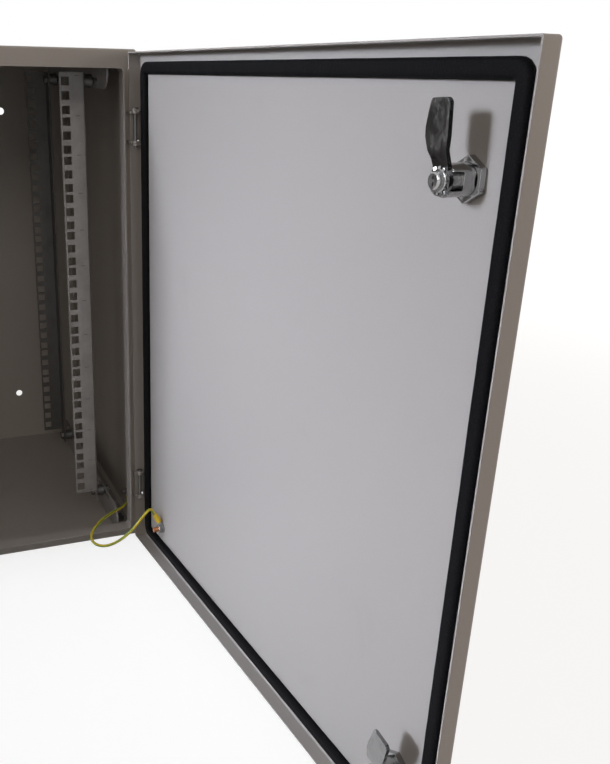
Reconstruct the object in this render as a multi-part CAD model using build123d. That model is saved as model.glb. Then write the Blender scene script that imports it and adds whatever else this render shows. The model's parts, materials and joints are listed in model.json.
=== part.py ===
from build123d import *

import os
from math import cos, radians, sin, tan

# A wall cabinet for 19-inch rack equipment, folded from sheet steel, with its gasketed door
# standing open. Lengths are in mm. The cabinet stands on z = 0, centred on the z axis, its
# front faces -Y and its door is hinged along the right-hand (+X) edge.

# Body
body_width = 600.0
body_height = 605.0
body_depth = 385.0
sheet = 1.5
body_bend = 3.0
front_bend = 2.5
flange_width = 20.0
collar_depth = 17.0
collar_corner = 4.0
wall_hole_radius = 5.0
wall_hole_spacing = 400.0
wall_hole_rise = 80.0
cut_overrun = 1.0

# Door
door_depth = 15.0
door_edge_gap = 3.0
door_bend = 3.0
door_corner = 2.0
gasket_width = 13.0
gasket_height = 6.0
gasket_corner = 8.0
gasket_round = 4.0
seal_gap = 0.3
open_angle = 95.0

# Hinges
hinge_inset = 6.5
hinge_from_rim = 5.2
hinge_from_edge = 78.0
pin_radius = 2.0
pin_head_radius = 3.6
pin_head = 1.8
pin_tail = 2.0
pin_running_fit = 0.05
pin_press_fit = 0.01
knuckle_radius = 3.7
knuckle_height = 34.0
lug_plate = 2.5
lug_arm_reach = 7.0
lug_arm_beyond = 1.25
lug_foot_width = 12.3
lug_foot = 2.0
lug_foot_height = 44.0
ear_plate = 2.0
ear_radius = 4.0
ear_gap = 0.3
bracket_side_gap = 0.3
notch_depth = 11.4
notch_gap = 1.0

# Locks
lock_from_free_edge = 54.0
lock_from_top = 78.0
lock_from_bottom = 71.0
lock_head_radius = 14.0
lock_head = 4.0
lock_head_round = 1.5
lock_seal = 1.0
lock_barrel_radius = 10.0
lock_flat_width = 18.0
lock_hole_gap = 0.2
lock_nut_across = 25.0
lock_nut_height = 5.0
lock_nut_turn = 30.0
lock_stop_width = 11.0
lock_stop_depth = 8.0
thread_fit = 0.05
spindle_radius = 6.5
spindle_head_radius = 8.0
spindle_head = 3.0
spindle_fit = 0.06
spindle_end_gap = 0.1
spindle_square = 8.0
square_fit = 0.05
key_pocket_radius = 5.5
key_pocket_depth = 5.0
key_post_radius = 2.2
key_bit_width = 3.0
key_bit_length = 9.0

# Cams
cam_plate = 3.0
cam_crank = 3.5
cam_flange_gap = 0.5
cam_reach = 46.0
cam_hinge_half = 10.8
cam_tip_half = 10.5
cam_free_half = 9.0
cam_tip_round = 4.0
cam_lead_inset = 5.0
cam_lead_turn = -20.0
cam_lead_tilt = 27.0
cam_rest_turns = {"upper": 4.0, "lower": -11.0}
cam_neck_width = 12.5
cam_neck_length = 12.0
cam_hub_radius = 9.0
cam_bend_low = 7.6
cam_bend_high = 17.0
cam_widest = 25.0
cam_washer_radius = 7.0
cam_washer = 1.2
cam_screw_radius = 3.0
cam_screw_length = 12.0
cam_screw_head_radius = 5.4
cam_screw_head = 3.4
cam_screw_round = 1.4
recess_length = 6.0
recess_width = 1.3
recess_depth = 1.6

# Rack rails, twelve height units at this body height
unit_pitch = 44.45
unit_first = 6.35
unit_step = 15.875
rail_side_room = 67.45
rack_hole = 9.5
rail_plate = 2.0
rail_bend = 1.5
rail_face_width = 30.0
rail_inner_edge = 6.8
rail_depth = 25.0
rail_end_gap = 24.7
rail_face_cut = 15.6
front_rail_setback = 65.0
rear_rail_from_back = 80.0

# Depth bars that carry the rails
bar_plate = 2.0
bar_height = 40.5
bar_foot = 24.0
bar_start = 4.0
bar_back_gap = 35.0
bar_nose_radius = 20.0
bar_bolt_rise = 32.0
bar_slot_width = 6.8
bar_slot_length = 60.0
bar_stud_inset = 36.0
rail_bolt_setback = 14.0
rail_spacer = 11.0
rail_spacer_radius = 7.0

# Small fasteners
bolt_radius = 3.0
bolt_hole_gap = 0.3
hex_across = 10.0
hex_height = 4.0
nut_height = 5.0
bolt_length = 22.0
bar_stud_length = 11.0

# Earth bond
earth_stud_radius = 3.0
earth_stud_length = 13.0
earth_washer_radius = 5.6
earth_washer = 0.8
terminal_plate = 1.0
terminal_ring_radius = 5.8
terminal_neck_width = 5.0
terminal_neck_length = 8.5
terminal_barrel_radius = 2.15
terminal_barrel_rise = 3.9
terminal_fuse = 1.6
lug_bend = 25.0
sleeve_radius = 3.4
sleeve_length = 12.0
sleeve_fit = 0.05
door_earth_inset = 65.0
door_earth_rise = 44.0
door_lug_turn = 20.0
body_earth_setback = 47.0
body_earth_rise = 42.0
wire_radius = 1.8
wire_exit = 4.0

# The wire's route between the straight ends at its two crimp sleeves, x, y and z in mm, from the
# body to the door: out past the collar, down in a slack loop and up to the door's terminal.
wire_route = [
    (283.5, -178.0, 41.9),
    (275.5, -188.0, 41.7),
    (263.0, -196.5, 41.8),
    (249.0, -205.5, 41.2),
    (235.5, -215.5, 38.4),
    (224.5, -226.0, 33.8),
    (219.5, -236.0, 28.4),
    (224.0, -245.0, 23.6),
    (235.5, -250.5, 22.4),
    (248.5, -254.0, 27.6),
    (260.5, -256.8, 36.6),
    (270.5, -258.8, 47.4),
    (278.5, -260.0, 57.4),
    (284.4, -260.0, 64.4),
    (288.0, -259.2, 67.8),
    (291.4, -258.2, 69.4),
    (294.2, -257.7, 68.4),
]
bend_share = 0.45

# Places that follow from the sizes above
half_width = body_width / 2
front_y = -body_depth / 2
back_y = body_depth / 2
door_height = body_height - 2 * door_edge_gap
rim_gap = collar_depth + seal_gap + gasket_height + sheet - door_depth
rim_y = front_y - rim_gap
outer_skin_y = rim_y - door_depth
inner_skin_y = outer_skin_y + sheet
hinge_x = half_width - hinge_inset
hinge_y = rim_y - hinge_from_rim
door_swing = Pos(hinge_x, hinge_y, 0) * Rot(0, 0, open_angle) * Pos(-hinge_x, -hinge_y, 0)
hinge_rises = {
    "upper": body_height - door_edge_gap - hinge_from_edge,
    "lower": door_edge_gap + hinge_from_edge,
}
lock_x = lock_from_free_edge - half_width
lock_rises = {
    "upper": body_height - door_edge_gap - lock_from_top,
    "lower": door_edge_gap + lock_from_bottom,
}
cam_rise = collar_depth + seal_gap + gasket_height + sheet + cam_flange_gap - cam_crank
rack_hole_span = body_width - 2 * rail_side_room
rail_outer_x = rack_hole_span / 2 - rail_inner_edge + rail_face_width
rail_length = body_height - 2 * rail_end_gap
rail_face_bottom = rail_end_gap + rail_face_cut
rail_face_length = rail_length - rail_face_cut
rack_units = int(rail_face_length // unit_pitch)
rear_rail_setback = body_depth - rear_rail_from_back
bar_inner_x = rail_outer_x + rail_spacer
bar_length = body_depth - bar_start - bar_back_gap


def block(x_range, y_range, z_range):
    """A box between two limits along each axis."""
    size = [high - low for low, high in (x_range, y_range, z_range)]
    low_corner = (x_range[0], y_range[0], z_range[0])
    return Pos(*low_corner) * Box(*size, align=Align.MIN)


def swung(piece):
    """A door piece, made with the door shut, moved to where the open door carries it."""
    return door_swing * piece


def frontal(y):
    """A plane facing the back, at the given depth, with the free edge of the shut door along +x."""
    return Plane((0, y, body_height / 2), x_dir=(-1, 0, 0), z_dir=(0, 1, 0))


def rod(radius, start, length):
    """A cylinder along local z from the given height."""
    return Pos(0, 0, start) * Cylinder(radius, length, align=(Align.CENTER, Align.CENTER, Align.MIN))


def hexagon(across, start, height, bore):
    """A hexagon nut or bolt head along local z, with a bore where one is given."""
    outline = RegularPolygon(across / 2, 6, major_radius=False)
    prism = Pos(0, 0, start) * extrude(outline, height)
    if bore:
        prism -= rod(bore, start - cut_overrun, height + 2 * cut_overrun)
    return prism


def cabinet_shell():
    """The folded body: four walls and the back, a front flange and the collar that meets the gasket."""
    outside = frontal(front_y) * RectangleRounded(body_width, body_height, body_bend)
    shell = extrude(outside, body_depth)
    front_edges = shell.faces().sort_by(Axis.Y)[0].edges()
    shell = fillet(front_edges, front_bend)
    cavity_size = (body_width - 2 * sheet, body_height - 2 * sheet)
    cavity = frontal(front_y + sheet) * RectangleRounded(*cavity_size, body_bend - sheet)
    shell -= extrude(cavity, body_depth - 2 * sheet)
    mouth_size = (body_width - 2 * flange_width, body_height - 2 * flange_width)
    collar_size = (mouth_size[0] + 2 * sheet, mouth_size[1] + 2 * sheet)
    collar = frontal(front_y - collar_depth) * RectangleRounded(*collar_size, collar_corner + sheet)
    shell += extrude(collar, collar_depth + sheet)
    mouth = frontal(front_y - collar_depth - cut_overrun) * RectangleRounded(*mouth_size, collar_corner)
    shell -= extrude(mouth, collar_depth + sheet + 2 * cut_overrun)
    hole_spacing_z = body_height - 2 * wall_hole_rise
    holes = GridLocations(wall_hole_spacing, hole_spacing_z, 2, 2)
    drill = rod(wall_hole_radius, -sheet - cut_overrun, sheet + 2 * cut_overrun)
    shell -= [frontal(back_y).location * place * drill for place in holes]
    return shell


def door_panel():
    """The door: a shallow folded pan with two notches for the hinge lugs and two lock holes."""
    outside = frontal(outer_skin_y) * RectangleRounded(body_width, door_height, door_corner)
    pan = extrude(outside, door_depth)
    pan = fillet(pan.faces().sort_by(Axis.Y)[0].edges(), door_bend)
    inside_size = (body_width - 2 * sheet, door_height - 2 * sheet)
    inside = frontal(inner_skin_y) * RectangleRounded(*inside_size, door_corner - sheet / 2)
    hollow = extrude(inside, door_depth - sheet + cut_overrun)
    hollow = fillet(hollow.faces().sort_by(Axis.Y)[0].edges(), door_bend - sheet)
    pan -= hollow
    notch_height = knuckle_height / 2 + notch_gap
    for rise in hinge_rises.values():
        pan -= block(
            (half_width - sheet - cut_overrun, half_width + cut_overrun),
            (rim_y - notch_depth, rim_y + cut_overrun),
            (rise - notch_height, rise + notch_height),
        )
    for rise in lock_rises.values():
        hole = rod(lock_barrel_radius + lock_hole_gap, -sheet - cut_overrun, sheet + 2 * cut_overrun)
        pan -= lock_plane(rise).location * hole
    return swung(pan)


def door_gasket():
    """The black foam gasket on the door, with a rounded crown, opposite the body's collar."""
    middle_inset = flange_width - sheet / 2
    outer_inset = middle_inset - gasket_width / 2
    inner_inset = middle_inset + gasket_width / 2
    plane = frontal(inner_skin_y)
    outline = RectangleRounded(body_width - 2 * outer_inset, body_height - 2 * outer_inset, gasket_corner)
    inner_size = (body_width - 2 * inner_inset, body_height - 2 * inner_inset)
    outline -= RectangleRounded(*inner_size, collar_corner)
    ring = extrude(plane * outline, gasket_height)
    crown = ring.faces().sort_by(Axis.Y)[-1].edges()
    return swung(fillet(crown, gasket_round))


def hinge_lug(rise):
    """The body's half of a hinge: a foot on the flange, with an eye for the pin above and below."""
    bottom = rise - knuckle_height / 2
    outer_x = hinge_x + lug_arm_beyond
    foot_half = lug_foot_height / 2
    lug = block(
        (outer_x - lug_foot_width, outer_x),
        (front_y - lug_foot, front_y),
        (rise - foot_half, rise + foot_half),
    )
    arm = block((hinge_x - lug_arm_reach, outer_x), (hinge_y, front_y), (0, lug_plate))
    arm += Pos(hinge_x, hinge_y, 0) * rod(knuckle_radius, 0, lug_plate)
    lug += Pos(0, 0, bottom) * arm
    lug += Pos(0, 0, bottom + knuckle_height - lug_plate) * arm
    bore = Cylinder(pin_radius + pin_running_fit, knuckle_height + cut_overrun)
    return lug - Pos(hinge_x, hinge_y, rise) * bore


def hinge_bracket(rise):
    """The door's half of a hinge: a U-bracket on the skin, with an ear above and below the lug's eyes."""
    inner_half = knuckle_height / 2 + ear_gap
    outer_half = inner_half + ear_plate
    across = (hinge_x - ear_radius, half_width - door_bend - bracket_side_gap)
    web = block(across, (inner_skin_y, inner_skin_y + ear_plate), (rise - outer_half, rise + outer_half))
    ear = block(across, (inner_skin_y, hinge_y), (0, ear_plate))
    ear += Pos(hinge_x, hinge_y, 0) * rod(ear_radius, 0, ear_plate)
    bore = rod(pin_radius + pin_press_fit, -cut_overrun, ear_plate + 2 * cut_overrun)
    ear -= Pos(hinge_x, hinge_y, 0) * bore
    bracket = web + Pos(0, 0, rise + inner_half) * ear + Pos(0, 0, rise - outer_half) * ear
    return swung(bracket)


def hinge_pin(rise):
    """A headed pin through the door's ears and the lug's eyes, bare between them."""
    reach = knuckle_height / 2 + ear_gap + ear_plate
    pin = rod(pin_radius, -reach - pin_tail, 2 * reach + pin_tail)
    head = rod(pin_head_radius, reach, pin_head)
    pin += fillet(head.faces().sort_by(Axis.Z)[-1].edges(), pin_head / 2)
    return swung(Pos(hinge_x, hinge_y, rise) * pin)


def lock_plane(rise):
    """On a lock's axis at the door's inner skin: x to the free edge, y up and z into the cabinet."""
    return Plane((lock_x, inner_skin_y, rise), x_dir=(-1, 0, 0), z_dir=(0, 1, 0))


def lock_housing():
    """A quarter-turn lock's fixed body: a round head outside, a flatted barrel with a stop slot inside."""
    seat = -sheet - lock_seal
    barrel_end = cam_rise - spindle_end_gap
    barrel = rod(lock_barrel_radius, seat, barrel_end - seat)
    middle_up = (Align.CENTER, Align.CENTER, Align.MIN)
    flats = Box(lock_flat_width, 2 * lock_barrel_radius, barrel_end - seat + cut_overrun, align=middle_up)
    barrel &= Pos(0, 0, seat) * flats
    stop_height = lock_stop_depth + cut_overrun
    stop = Box(lock_barrel_radius, lock_stop_width, stop_height, align=(Align.MIN, Align.CENTER, Align.MIN))
    head = rod(lock_head_radius, seat - lock_head, lock_head)
    head = fillet(head.faces().sort_by(Axis.Z)[0].edges(), lock_head_round)
    front = seat - lock_head
    counterbore = rod(spindle_head_radius + spindle_fit, front - cut_overrun, spindle_head + cut_overrun)
    bore = rod(spindle_radius + spindle_fit, front, barrel_end - front + cut_overrun)
    return barrel + head - counterbore - bore - Pos(0, 0, barrel_end - lock_stop_depth) * stop


def lock_seal_ring():
    """The flat seal between a lock's head and the door's outer face."""
    start = -sheet - lock_seal
    seal = rod(lock_head_radius - lock_head_round, start, lock_seal)
    return seal - rod(lock_barrel_radius + lock_hole_gap, start - cut_overrun, lock_seal + 2 * cut_overrun)


def lock_nut():
    """The flat hexagon nut that clamps a lock to the door, a corner uppermost."""
    nut = hexagon(lock_nut_across, 0, lock_nut_height, lock_barrel_radius + thread_fit)
    return Rot(0, 0, lock_nut_turn) * nut


def lock_spindle():
    """The turning core of a lock, with a double-bit key post in front and a square for the cam behind."""
    front = -sheet - lock_seal - lock_head
    shoulder = front + spindle_head - spindle_end_gap
    core = rod(spindle_head_radius, front, spindle_head - spindle_end_gap)
    core += rod(spindle_radius, shoulder, cam_rise - shoulder)
    square = Box(spindle_square, spindle_square, cam_plate, align=(Align.CENTER, Align.CENTER, Align.MIN))
    core += Pos(0, 0, cam_rise) * square
    pocket = rod(key_pocket_radius, front - cut_overrun, key_pocket_depth + cut_overrun)
    post = rod(key_post_radius, front, key_pocket_depth)
    bit = Box(key_bit_width, key_bit_length, key_pocket_depth, align=(Align.CENTER, Align.CENTER, Align.MIN))
    post += Pos(0, 0, front) * bit
    core -= pocket - post
    screw_end = cam_rise + cam_plate - cam_screw_length
    core -= rod(cam_screw_radius + thread_fit, screw_end, cam_screw_length + cut_overrun)
    return core


def cam():
    """The cranked paddle that turns behind the body's flange: a bent strip with a lead-in slope."""
    low = cam_rise
    high = cam_rise + cam_crank
    side = Polyline(
        (-cam_hub_radius, low),
        (cam_bend_low, low),
        (cam_bend_high, high),
        (cam_reach, high),
        (cam_reach, high + cam_plate),
        (cam_bend_high, high + cam_plate),
        (cam_bend_low, low + cam_plate),
        (-cam_hub_radius, low + cam_plate),
        close=True,
    )
    strip = extrude(Plane.YZ * make_face(side), cam_hinge_half, both=True)
    neck_half = cam_neck_width / 2
    paddle = Polygon(
        (-neck_half, 0),
        (neck_half, 0),
        (cam_free_half, cam_widest),
        (cam_free_half, cam_reach),
        (-cam_tip_half, cam_reach),
        (-cam_hinge_half, cam_widest),
        (-neck_half, cam_neck_length),
        align=None,
    )
    tips = paddle.vertices().sort_by(Axis.Y)[-2:]
    outline = fillet(tips, cam_tip_round) + Circle(cam_hub_radius)
    blank = extrude(outline, high + 2 * cam_plate)
    plate = strip & blank
    slope = Box(cam_reach, 2 * cam_reach, cam_reach, align=(Align.MAX, Align.CENTER, Align.MIN))
    slope = Rot(0, 0, cam_lead_turn) * Rot(0, -cam_lead_tilt, 0) * slope
    plate -= Pos(-cam_lead_inset, cam_reach, high + cam_plate) * slope
    hole_side = spindle_square + 2 * square_fit
    hole_height = cam_plate + 2 * cut_overrun
    hole = Box(hole_side, hole_side, hole_height, align=(Align.CENTER, Align.CENTER, Align.MIN))
    return plate - Pos(0, 0, cam_rise - cut_overrun) * hole


def cam_washer_ring():
    """The washer under a cam's screw."""
    start = cam_rise + cam_plate
    ring = rod(cam_washer_radius, start, cam_washer)
    return ring - rod(cam_screw_radius + bolt_hole_gap, start - cut_overrun, cam_washer + 2 * cut_overrun)


def cam_screw():
    """The cross-recessed screw that holds a cam on its spindle."""
    seat = cam_rise + cam_plate + cam_washer
    shank_end = cam_rise + cam_plate - cam_screw_length
    head = rod(cam_screw_head_radius, seat, cam_screw_head)
    head = fillet(head.faces().sort_by(Axis.Z)[-1].edges(), cam_screw_round)
    top = seat + cam_screw_head
    for turn in (0, 90):
        slot = Box(recess_length, recess_width, recess_depth, align=(Align.CENTER, Align.CENTER, Align.MAX))
        head -= Pos(0, 0, top) * Rot(0, 0, turn) * slot
    return head + rod(cam_screw_radius, shank_end, seat - shank_end)


def rack_hole_rises():
    """Heights of the square holes: three to each height unit."""
    spare = rail_face_length - rack_units * unit_pitch
    first = rail_face_bottom + spare / 2 + unit_first
    starts = [first + unit * unit_pitch for unit in range(rack_units)]
    return [start + step * unit_step for start in starts for step in range(3)]


def rack_rail(side, face_y, inward):
    """One folded rail: a face with square holes and a flange bolted to the depth bars."""
    half = rail_plate / 2
    inner_x = rail_outer_x - rail_face_width
    mid_y = face_y + inward * half
    path = FilletPolyline(
        (inner_x, mid_y),
        (rail_outer_x - half, mid_y),
        (rail_outer_x - half, face_y + inward * rail_depth),
        radius=rail_bend,
    )
    profile = trace(path, line_width=rail_plate)
    rail = Pos(0, 0, rail_end_gap) * extrude(profile, rail_length)
    rail -= block(
        (inner_x - cut_overrun, rail_outer_x - rail_plate),
        (face_y - rail_depth, face_y + rail_depth),
        (0, rail_face_bottom),
    )
    punch = Box(rack_hole, 2 * rail_bend + 2 * rail_plate, rack_hole)
    rail -= [Pos(rack_hole_span / 2, mid_y, rise) * punch for rise in rack_hole_rises()]
    bolt_y = face_y + inward * rail_bolt_setback
    for rise in bolt_rises():
        hole = Rot(0, 90, 0) * Cylinder(bolt_radius + bolt_hole_gap, rail_depth)
        rail -= Pos(rail_outer_x, bolt_y, rise) * hole
    return rail if side > 0 else mirror(rail, Plane.YZ)


def bolt_rises():
    """Heights of the bolts that hold the rails to the lower and upper depth bars."""
    return (sheet + bar_bolt_rise, body_height - sheet - bar_bolt_rise)


def bar_stud_places():
    """Depths of the two welded studs under each depth bar's foot."""
    start = front_y + bar_start
    return (start + bar_stud_inset, start + bar_length - bar_stud_inset)


def depth_bar(side, upper):
    """An angle along the cabinet's floor or ceiling, slotted so that the rails can be set back."""
    half = bar_plate / 2
    web_x = bar_inner_x + half
    path = FilletPolyline(
        (web_x, sheet + bar_height),
        (web_x, sheet + half),
        (bar_inner_x + bar_foot, sheet + half),
        radius=rail_bend,
    )
    start = front_y + bar_start
    front_plane = Plane((0, start, 0), x_dir=(1, 0, 0), z_dir=(0, -1, 0))
    bar = extrude(front_plane * trace(path, line_width=bar_plate), -bar_length)
    nose_edges = bar.edges().filter_by(Axis.X).group_by(Axis.Z)[-1]
    bar = fillet(nose_edges, bar_nose_radius)
    slot = Rot(0, 0, 90) * SlotOverall(bar_slot_length, bar_slot_width)
    slot = Rot(0, 90, 0) * extrude(slot, bar_foot, both=True)
    for y in rail_bolt_places():
        bar -= Pos(bar_inner_x, y, sheet + bar_bolt_rise) * slot
    for y in bar_stud_places():
        drill = rod(bolt_radius + bolt_hole_gap, 0, bar_plate + 2 * cut_overrun)
        bar -= Pos(bar_stud_x(), y, sheet - cut_overrun) * drill
    if upper:
        bar = mirror(bar, Plane((0, 0, body_height / 2)))
    return bar if side > 0 else mirror(bar, Plane.YZ)


def bar_stud_x():
    """Middle of a depth bar's foot, outside its web."""
    return bar_inner_x + (bar_plate + bar_foot) / 2


def in_four_corners(piece):
    """A fastener of the lower right corner, repeated in the other three corners."""
    upper = mirror(piece, Plane((0, 0, body_height / 2)))
    return [piece, upper, mirror(piece, Plane.YZ), mirror(upper, Plane.YZ)]


def bar_studs():
    """The studs welded to floor and ceiling that hold the depth bars."""
    studs = []
    for y in bar_stud_places():
        studs += in_four_corners(Pos(bar_stud_x(), y, 0) * rod(bolt_radius, sheet, bar_stud_length))
    return Compound(children=studs)


def bar_nuts():
    """A nut on each of those studs."""
    nuts = []
    for y in bar_stud_places():
        nut = hexagon(hex_across, sheet + bar_plate, nut_height, bolt_radius + thread_fit)
        nuts += in_four_corners(Pos(bar_stud_x(), y, 0) * nut)
    return Compound(children=nuts)


def rail_bolt_places():
    """Depths of the bolts through the front and rear rails."""
    front = front_y + front_rail_setback + rail_bolt_setback
    rear = front_y + rear_rail_setback - rail_bolt_setback
    return (front, rear)


def rail_fasteners(make):
    """Bolts, spacers or nuts at the eight crossings of rails and depth bars."""
    pieces = []
    for y in rail_bolt_places():
        plane = Plane((rail_outer_x, y, sheet + bar_bolt_rise), x_dir=(0, 1, 0), z_dir=(1, 0, 0))
        pieces += in_four_corners(plane.location * make())
    return Compound(children=pieces)


def rail_bolt():
    """A hexagon bolt from inside the rail's flange, out through the spacer and the depth bar."""
    head = hexagon(hex_across, -rail_plate - hex_height, hex_height, 0)
    return head + rod(bolt_radius, -rail_plate, bolt_length)


def rail_spacer_tube():
    """The tube that holds a rail clear of its depth bar."""
    bore = rod(bolt_radius + bolt_hole_gap, -cut_overrun, rail_spacer + 2 * cut_overrun)
    return rod(rail_spacer_radius, 0, rail_spacer) - bore


def rail_nut():
    """The nut of such a bolt, outside the depth bar."""
    return hexagon(hex_across, rail_spacer + bar_plate, nut_height, bolt_radius + thread_fit)


def earth_point():
    """The pieces of one earth connection, with local z out of the sheet and y along the wire's lug."""
    stud = rod(earth_stud_radius, 0, earth_stud_length)
    clear = earth_stud_radius + thread_fit
    washer = rod(earth_washer_radius, 0, earth_washer)
    washer -= rod(clear, -cut_overrun, earth_washer + 2 * cut_overrun)
    tongue = Circle(terminal_ring_radius)
    neck = Rectangle(terminal_neck_width, terminal_neck_length, align=(Align.CENTER, Align.MIN))
    tongue = tongue + neck - Circle(clear)
    terminal = Pos(0, 0, earth_washer) * extrude(tongue, terminal_plate)
    barrel_place = Pos(0, terminal_neck_length, terminal_barrel_rise) * Rot(lug_bend - 90, 0, 0)
    terminal += barrel_place * rod(terminal_barrel_radius, -terminal_fuse, sleeve_length + terminal_fuse)
    sleeve = rod(sleeve_radius, 0, sleeve_length)
    sleeve -= rod(terminal_barrel_radius + sleeve_fit, -cut_overrun, sleeve_length + 2 * cut_overrun)
    nut = hexagon(hex_across, earth_washer + terminal_plate, nut_height, clear)
    return {
        "earth_stud": stud,
        "earth_washer": washer,
        "ring_terminal": terminal,
        "crimp_sleeve": barrel_place * sleeve,
        "earth_nut": nut,
    }


def door_earth_plane():
    """The earth connection on the door, with its lug pointing up and a little towards the hinges."""
    place = (half_width - door_earth_inset, inner_skin_y, door_earth_rise)
    turn = radians(door_lug_turn)
    return Plane(place, x_dir=(-cos(turn), 0, sin(turn)), z_dir=(0, 1, 0))


def body_earth_plane():
    """The earth connection on the right-hand wall, with its lug pointing to the front."""
    place = (half_width - sheet, front_y + body_earth_setback, body_earth_rise)
    return Plane(place, x_dir=(0, 0, -1), z_dir=(-1, 0, 0))


def wire_end(plane):
    """Where the wire leaves a crimp sleeve, and the point where its straight end stops."""
    ahead = cos(radians(lug_bend))
    out = sin(radians(lug_bend))
    ends = []
    for reach in (sleeve_length, sleeve_length + wire_exit):
        along = terminal_neck_length + reach * ahead
        ends.append(plane.from_local_coords((0, along, terminal_barrel_rise + reach * out)))
    return ends


def earth_wire():
    """The green and yellow bonding wire: straight runs joined by wide arcs."""
    body_end = wire_end(body_earth_plane())
    door_end = wire_end(Plane(door_swing * door_earth_plane().location))
    points = body_end + [Vector(*point) for point in wire_route] + door_end[::-1]
    runs = [after - before for before, after in zip(points, points[1:])]
    radii = []
    for before, after in zip(runs, runs[1:]):
        half_turn = radians(before.get_angle(after)) / 2
        radii.append(bend_share * min(before.length, after.length) / tan(half_turn))
    path = FilletPolyline(*points, radius=radii)
    section = Plane(points[0], z_dir=runs[0]) * Circle(wire_radius)
    return sweep(section, path)


def all_pieces():
    """Every piece of the cabinet by name."""
    pieces = {
        "cabinet_shell": cabinet_shell(),
        "door_panel": door_panel(),
        "door_gasket": door_gasket(),
        "depth_bar_studs": bar_studs(),
        "depth_bar_nuts": bar_nuts(),
        "rail_bolts": rail_fasteners(rail_bolt),
        "rail_spacers": rail_fasteners(rail_spacer_tube),
        "rail_nuts": rail_fasteners(rail_nut),
        "earth_wire": earth_wire(),
    }
    for end, rise in hinge_rises.items():
        pieces[f"hinge_lug_{end}"] = hinge_lug(rise)
        pieces[f"hinge_bracket_{end}"] = hinge_bracket(rise)
        pieces[f"hinge_pin_{end}"] = hinge_pin(rise)
    fixed_lock_makers = {
        "lock_housing": lock_housing,
        "lock_seal": lock_seal_ring,
        "lock_nut": lock_nut,
    }
    turning_lock_makers = {
        "lock_spindle": lock_spindle,
        "lock_cam": cam,
        "cam_washer": cam_washer_ring,
        "cam_screw": cam_screw,
    }
    for end, rise in lock_rises.items():
        place = lock_plane(rise).location
        for name, make in fixed_lock_makers.items():
            pieces[f"{name}_{end}"] = swung(place * make())
        turned = place * Rot(0, 0, cam_rest_turns[end])
        for name, make in turning_lock_makers.items():
            pieces[f"{name}_{end}"] = swung(turned * make())
    for side, hand in ((-1, "left"), (1, "right")):
        pieces[f"front_rail_{hand}"] = rack_rail(side, front_y + front_rail_setback, 1)
        pieces[f"rear_rail_{hand}"] = rack_rail(side, front_y + rear_rail_setback, -1)
        pieces[f"upper_depth_bar_{hand}"] = depth_bar(side, True)
        pieces[f"lower_depth_bar_{hand}"] = depth_bar(side, False)
    for name, piece in earth_point().items():
        pieces[f"body_{name}"] = body_earth_plane().location * piece
        pieces[f"door_{name}"] = swung(door_earth_plane().location * piece)
    return pieces


os.makedirs("parts", exist_ok=True)
for name, piece in all_pieces().items():
    export_step(piece, f"parts/{name}.step")
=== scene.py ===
"""Finishes and fine detail of a wall cabinet for rack equipment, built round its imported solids."""

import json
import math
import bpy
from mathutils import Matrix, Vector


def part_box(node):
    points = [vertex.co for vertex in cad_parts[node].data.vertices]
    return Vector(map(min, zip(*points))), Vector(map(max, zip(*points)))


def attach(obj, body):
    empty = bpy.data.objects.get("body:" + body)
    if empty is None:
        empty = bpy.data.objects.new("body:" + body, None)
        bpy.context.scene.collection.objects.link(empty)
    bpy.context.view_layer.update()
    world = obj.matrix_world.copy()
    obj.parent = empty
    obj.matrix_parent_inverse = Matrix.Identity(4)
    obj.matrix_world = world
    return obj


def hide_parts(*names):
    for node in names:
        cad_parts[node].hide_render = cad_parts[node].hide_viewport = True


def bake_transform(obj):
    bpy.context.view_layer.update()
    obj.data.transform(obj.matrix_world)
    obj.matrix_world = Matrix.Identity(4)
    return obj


bl_info = {
    "name": "Rack wall cabinet",
    "version": (1, 0, 0),
    "blender": (4, 5, 0),
    "location": "View3D > Sidebar > Cabinet",
    "description": "Paint, plating, gasket, earth wire and studio of a sheet-steel cabinet",
    "category": "Object",
}

import bmesh
import bpy
from bpy.props import FloatProperty, FloatVectorProperty, IntProperty, PointerProperty
from mathutils import Matrix, Quaternion, Vector

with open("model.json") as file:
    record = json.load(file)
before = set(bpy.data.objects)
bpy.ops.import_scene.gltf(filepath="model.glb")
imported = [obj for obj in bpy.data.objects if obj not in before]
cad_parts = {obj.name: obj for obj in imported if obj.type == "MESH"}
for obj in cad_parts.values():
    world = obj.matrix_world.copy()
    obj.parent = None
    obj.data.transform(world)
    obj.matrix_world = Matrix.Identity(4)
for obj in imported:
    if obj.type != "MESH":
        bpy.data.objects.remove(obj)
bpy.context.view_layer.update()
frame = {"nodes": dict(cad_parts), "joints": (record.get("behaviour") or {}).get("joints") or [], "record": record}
MM = 0.001
BODY_OF = {
    node: body
    for body, nodes in frame["record"]["behaviour"]["bodies"].items()
    for node in nodes
}
JOINT_OF = {joint["child"]: joint for joint in frame["joints"]}
SHELL_LOW, SHELL_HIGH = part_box("cabinet_shell")

# The door stands open in its solids, by the angle that shuts it.
DOOR_HINGE = JOINT_OF["door"]
OPEN_ANGLE = math.radians(-DOOR_HINGE["range_deg"][0])

# How the solids' edges are eased: folds flatter than the crease angle are left smooth.
CREASE_ANGLE = math.radians(32)
EASING_SEGMENTS = 2
LARGE_FACE_WEIGHT = 90
SAME_PLACE = 1e-6

BLACK = (0.0, 0.0, 0.0)
WHITE = (1.0, 1.0, 1.0)

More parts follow.
